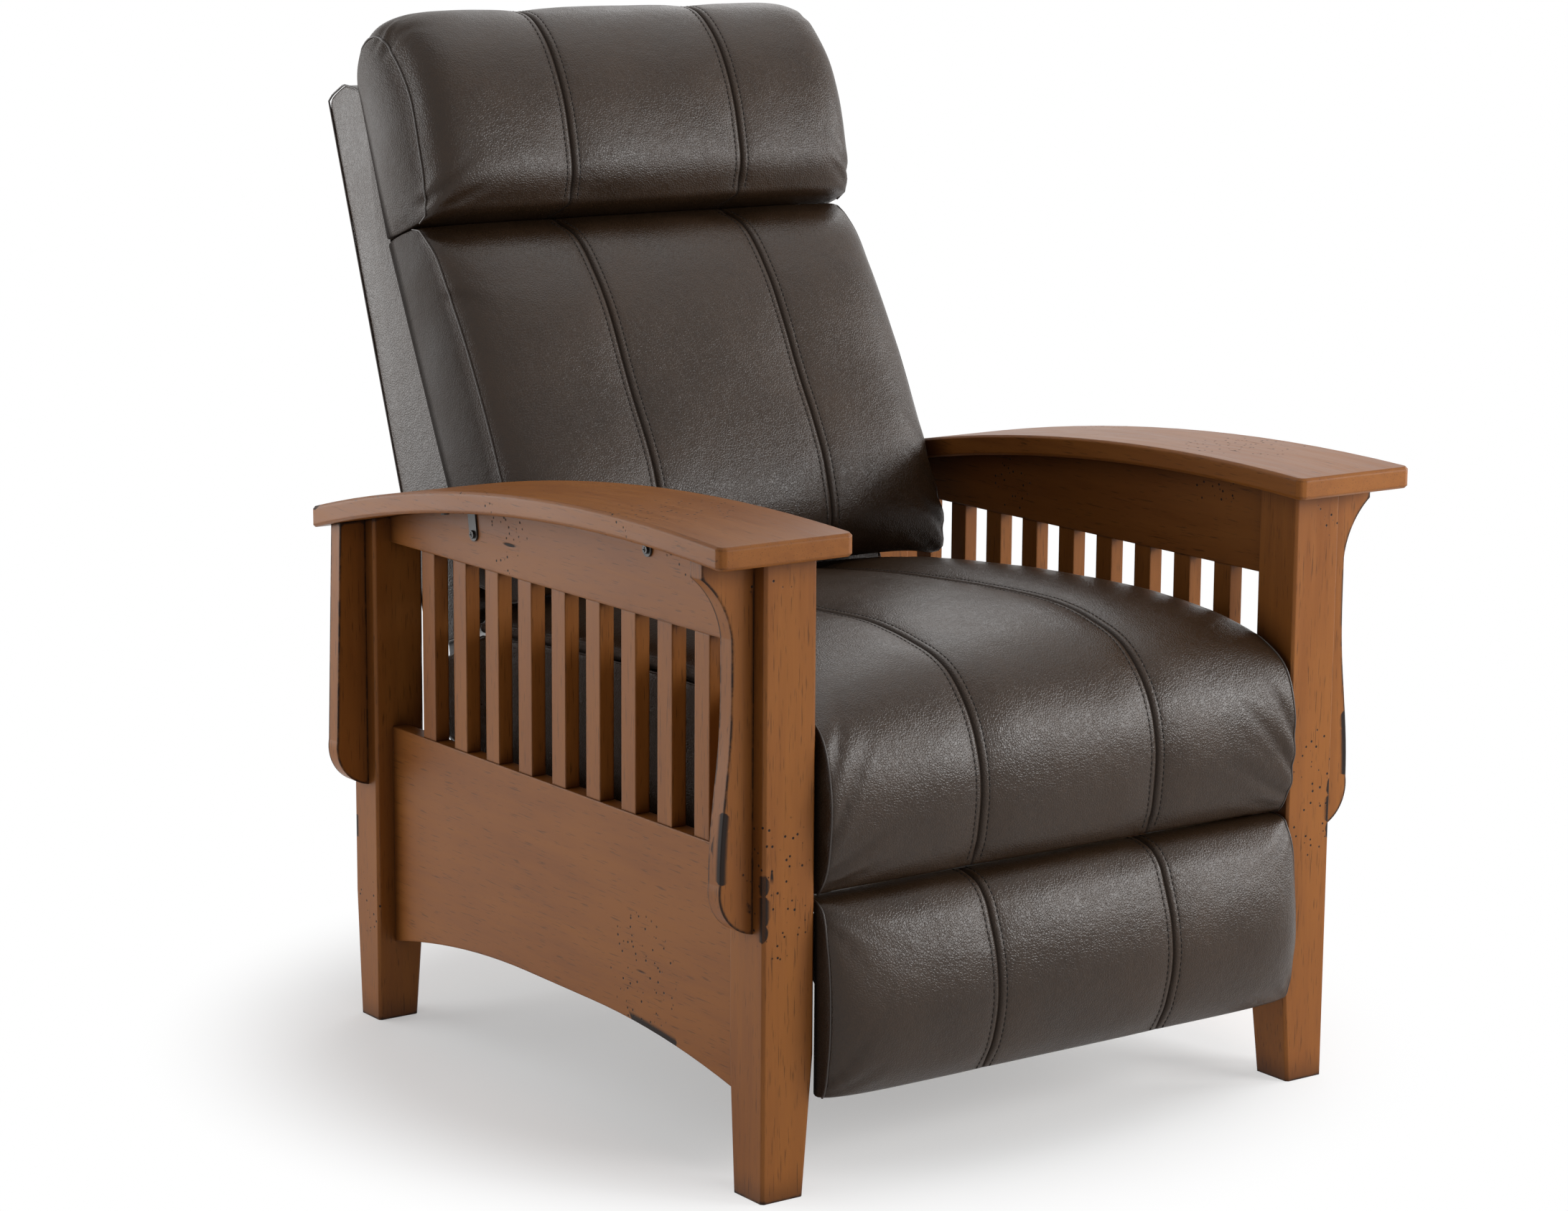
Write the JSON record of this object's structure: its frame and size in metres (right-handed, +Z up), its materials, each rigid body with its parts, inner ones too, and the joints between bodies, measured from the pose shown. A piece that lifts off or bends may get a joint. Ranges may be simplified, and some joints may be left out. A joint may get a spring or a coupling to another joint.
{
  "type": "reclining armchair",
  "caption": "Mission style wooden recliner with slatted sides, bowed arms on corbels, channelled leather cushions and a fold-out footrest on a link mechanism.",
  "frame": {"origin": "middle of the chair's bounding box, on the floor", "axes": "+Z up, -Y out of the front of the chair, X across it"},
  "size_m": [0.8374, 0.9878, 1.0561],
  "materials": {
    "stained_oak": "satin",
    "frame_wood": "raw",
    "brown_leather": "satin",
    "black_steel": "satin",
    "zinc_steel": "satin"
  },
  "bodies": {
    "frame": {"front_post_left": "stained_oak", "front_post_right": "stained_oak", "rear_post_left": "stained_oak", "rear_post_right": "stained_oak", "arm_left": "stained_oak", "arm_right": "stained_oak", "upper_rail_left": "stained_oak", "upper_rail_right": "stained_oak", "lower_panel_left": "stained_oak", "lower_panel_right": "stained_oak", "slats_left": "stained_oak", "slats_right": "stained_oak", "front_corbel_left": "stained_oak", "front_corbel_right": "stained_oak", "rear_corbel_left": "stained_oak", "rear_corbel_right": "stained_oak", "arm_tabs": "black_steel", "tab_screws": "black_steel", "cleat_left": "frame_wood", "cleat_right": "frame_wood", "base_rail_left": "black_steel", "base_rail_right": "black_steel", "base_bolts": "zinc_steel", "cross_tube": "black_steel", "rear_stretcher": "stained_oak"},
    "front_swing_pair": {"swing_link_front_left": "black_steel", "swing_link_front_right": "black_steel"},
    "rear_swing_pair": {"swing_link_rear_left": "black_steel", "swing_link_rear_right": "black_steel"},
    "seat": {"seat_plate_left": "black_steel", "seat_plate_right": "black_steel", "seat_rail_left": "frame_wood", "seat_rail_right": "frame_wood", "seat_cross_rails": "frame_wood", "seat_bolts": "zinc_steel", "seat_springs": "black_steel", "seat_cover_left": "brown_leather", "seat_cover_right": "brown_leather", "seat_cushion": "brown_leather"},
    "back": {"back_shell": "brown_leather", "back_stile_left": "frame_wood", "back_stile_right": "frame_wood", "back_cross_rails": "frame_wood", "back_bracket_left": "black_steel", "back_bracket_right": "black_steel", "back_bolts": "zinc_steel", "lower_back_cushion": "brown_leather", "headrest_pillow": "brown_leather"},
    "front_link_pair": {"front_link_left": "black_steel", "front_link_right": "black_steel"},
    "rear_link_pair": {"rear_link_left": "black_steel", "rear_link_right": "black_steel"},
    "upper_link_pair": {"upper_link_left": "black_steel", "upper_link_right": "black_steel"},
    "lower_link_pair": {"lower_link_left": "black_steel", "lower_link_right": "black_steel"},
    "footrest": {"footrest_board": "frame_wood", "footrest_pad": "brown_leather", "footrest_bracket_left": "black_steel", "footrest_bracket_right": "black_steel"}
  },
  "joints": [
    {"name": "rear_swing", "type": "hinge", "parent": "frame", "child": "rear_swing_pair", "pos_m": [0, 0.07561, 0.165], "axis": [1, 0, 0], "range_deg": [0, 57]},
    {"name": "seat_on_rear_swing", "type": "hinge", "parent": "rear_swing_pair", "child": "seat", "pos_m": [0, 0.11311, 0.23], "axis": [-1, 0, 0], "range_deg": [0, 57]},
    {"name": "front_swing", "type": "hinge", "parent": "frame", "child": "front_swing_pair", "pos_m": [0, -0.19439, 0.165], "axis": [1, 0, 0], "range_deg": [0, 57]},
    {"name": "back_recline", "type": "hinge", "parent": "seat", "child": "back", "pos_m": [0, 0.24311, 0.33], "axis": [-1, 0, 0], "range_deg": [0, 35]},
    {"name": "front_link", "type": "hinge", "parent": "seat", "child": "front_link_pair", "pos_m": [0, -0.34189, 0.264], "axis": [-1, 0, 0], "range_deg": [0, 94]},
    {"name": "rear_link", "type": "hinge", "parent": "seat", "child": "rear_link_pair", "pos_m": [0, -0.29789, 0.2554], "axis": [-1, 0, 0], "range_deg": [0, 94]},
    {"name": "upper_link", "type": "hinge", "parent": "front_link_pair", "child": "upper_link_pair", "pos_m": [0, -0.25372, 0.14265], "axis": [1, 0, 0], "range_deg": [0, 94]},
    {"name": "lower_link", "type": "hinge", "parent": "front_link_pair", "child": "lower_link_pair", "pos_m": [0, -0.22433, 0.1022], "axis": [1, 0, 0], "range_deg": [0, 94]},
    {"name": "footrest_turn", "type": "hinge", "parent": "upper_link_pair", "child": "footrest", "pos_m": [0, -0.41292, 0.25105], "axis": [-1, 0, 0], "range_deg": [0, 94]}
  ],
  "couplings": [
    {"joint": "seat_on_rear_swing", "follows": "rear_swing", "ratio": 1},
    {"joint": "front_swing", "follows": "rear_swing", "ratio": 1},
    {"joint": "back_recline", "follows": "rear_swing", "ratio": 0.614},
    {"joint": "rear_link", "follows": "front_link", "ratio": 1},
    {"joint": "upper_link", "follows": "front_link", "ratio": 1},
    {"joint": "lower_link", "follows": "front_link", "ratio": 1},
    {"joint": "footrest_turn", "follows": "front_link", "ratio": 1}
  ]
}
